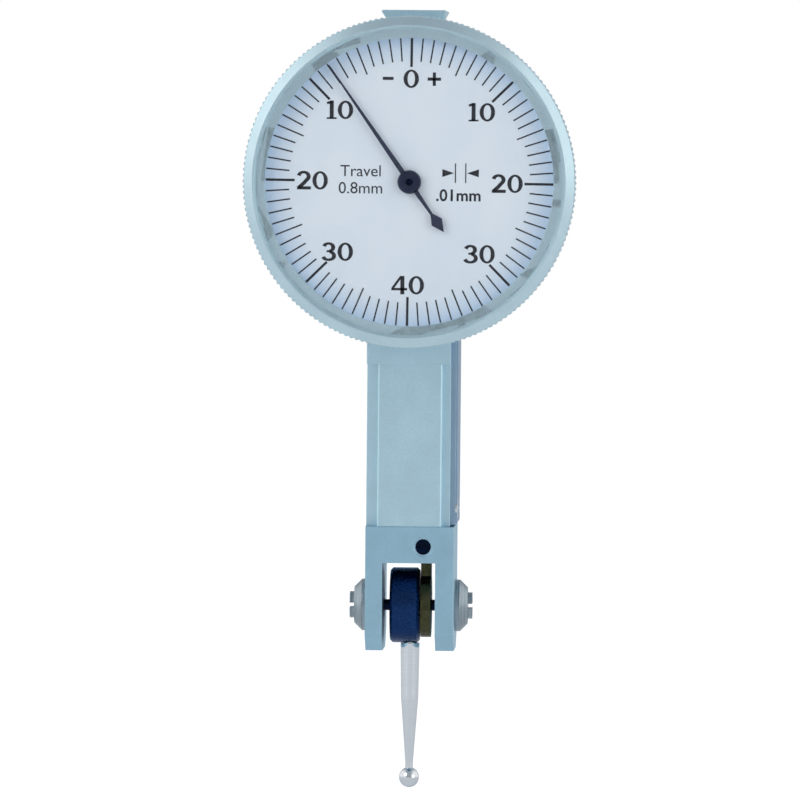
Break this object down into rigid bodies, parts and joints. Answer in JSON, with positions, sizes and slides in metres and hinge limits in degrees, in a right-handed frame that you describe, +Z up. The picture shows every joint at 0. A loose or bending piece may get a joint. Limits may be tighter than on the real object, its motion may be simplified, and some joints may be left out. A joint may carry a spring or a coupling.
{
  "type": "dial test indicator",
  "caption": "Lever-type dial test indicator: forked dovetail body, tapered ball-ended stylus, geared pointer and turning knurled bezel.",
  "frame": {"origin": "middle of the back dovetail's flat face", "axes": "+Z up the body from the stylus to the dial, -Y out of the dial's face, +X to the right of the dial"},
  "size_m": [0.0322, 0.021, 0.0765],
  "materials": {
    "satin_chrome": "fine satin chrome plate",
    "fork_chrome": "fine satin chrome plate, a shade darker",
    "cover_chrome": "satin chrome plate on a cut plate",
    "bezel_chrome": "satin chrome plate with a straight knurl",
    "bearing_steel": "turned steel",
    "small_steel": "turned steel",
    "spring_steel": "spring steel",
    "black_steel": "black oxide",
    "blued_steel": "polished blued steel",
    "bright_steel": "polished",
    "lever_brass": "aged brass",
    "movement_brass": "fine brass",
    "ruby": "polished synthetic ruby",
    "dial_white": "matt white enamel",
    "pointer_blue": "dark navy enamel",
    "hub_slate": "dark turned steel",
    "clear_crystal": "clear polished crystal"
  },
  "bodies": {
    "body": {"body_bar": "satin_chrome", "fork": "fork_chrome", "side_cover": "cover_chrome", "side_cover_screws": "small_steel", "movement_case": "satin_chrome", "case_screws": "small_steel", "movement_plate": "movement_brass", "movement_plate_screws": "small_steel", "front_jewel": "ruby", "pinion_bridge": "movement_brass", "pinion_bridge_screws": "small_steel", "rear_jewel": "ruby", "crown_cock": "movement_brass", "crown_cock_screws": "small_steel", "crown_jewel_left": "ruby", "crown_jewel_right": "ruby", "bearing_screw_left": "bearing_steel", "bearing_ring_left": "small_steel", "bearing_screw_right": "bearing_steel", "bearing_ring_right": "small_steel", "travel_stop_screw": "black_steel", "rest_stop_pin": "small_steel", "bezel_wire_spring": "spring_steel", "hairspring": "spring_steel", "hairspring_stud": "small_steel"},
    "bezel": {"bezel_ring": "bezel_chrome", "dial_face": "dial_white", "crystal": "clear_crystal", "dial_snap_ring": "spring_steel"},
    "pointer_set": {"pointer_spindle": "small_steel", "pointer": "pointer_blue", "pointer_hub": "hub_slate", "hairspring_collet": "movement_brass"},
    "crown_set": {"crown_gear": "movement_brass", "crown_pinion_shaft": "small_steel"},
    "lever": {"lever_sector": "lever_brass", "pivot_axle": "black_steel"},
    "stylus": {"pivot_block": "blued_steel", "stylus_shank": "bright_steel", "contact_ball": "bright_steel"}
  },
  "joints": [
    {"name": "bezel_turn", "type": "hinge", "parent": "body", "child": "bezel", "pos_m": [0, -0.017, 0.0258], "axis": [0, 1, 0], "continuous": true},
    {"name": "pointer_spin", "type": "hinge", "parent": "body", "child": "pointer_set", "pos_m": [0, -0.015, 0.0258], "axis": [0, 1, 0], "range_deg": [0, 360], "stiffness_Nm_per_rad": 0.0000008, "springref_deg": -1074.3},
    {"name": "crown_spin", "type": "hinge", "parent": "body", "child": "crown_set", "pos_m": [0, -0.00605, 0.0258], "axis": [1, 0, 0], "range_deg": [-67.6, 0]},
    {"name": "lever_swing", "type": "hinge", "parent": "body", "child": "lever", "pos_m": [0, -0.00605, -0.0159], "axis": [1, 0, 0], "range_deg": [0, 2.71]},
    {"name": "stylus_tilt", "type": "hinge", "parent": "lever", "child": "stylus", "pos_m": [0, -0.00605, -0.0159], "axis": [1, 0, 0], "range_deg": [-105, 105]}
  ],
  "couplings": [
    {"joint": "crown_spin", "follows": "pointer_spin", "ratio": -0.1875},
    {"joint": "lever_swing", "follows": "pointer_spin", "ratio": 0.0075}
  ]
}
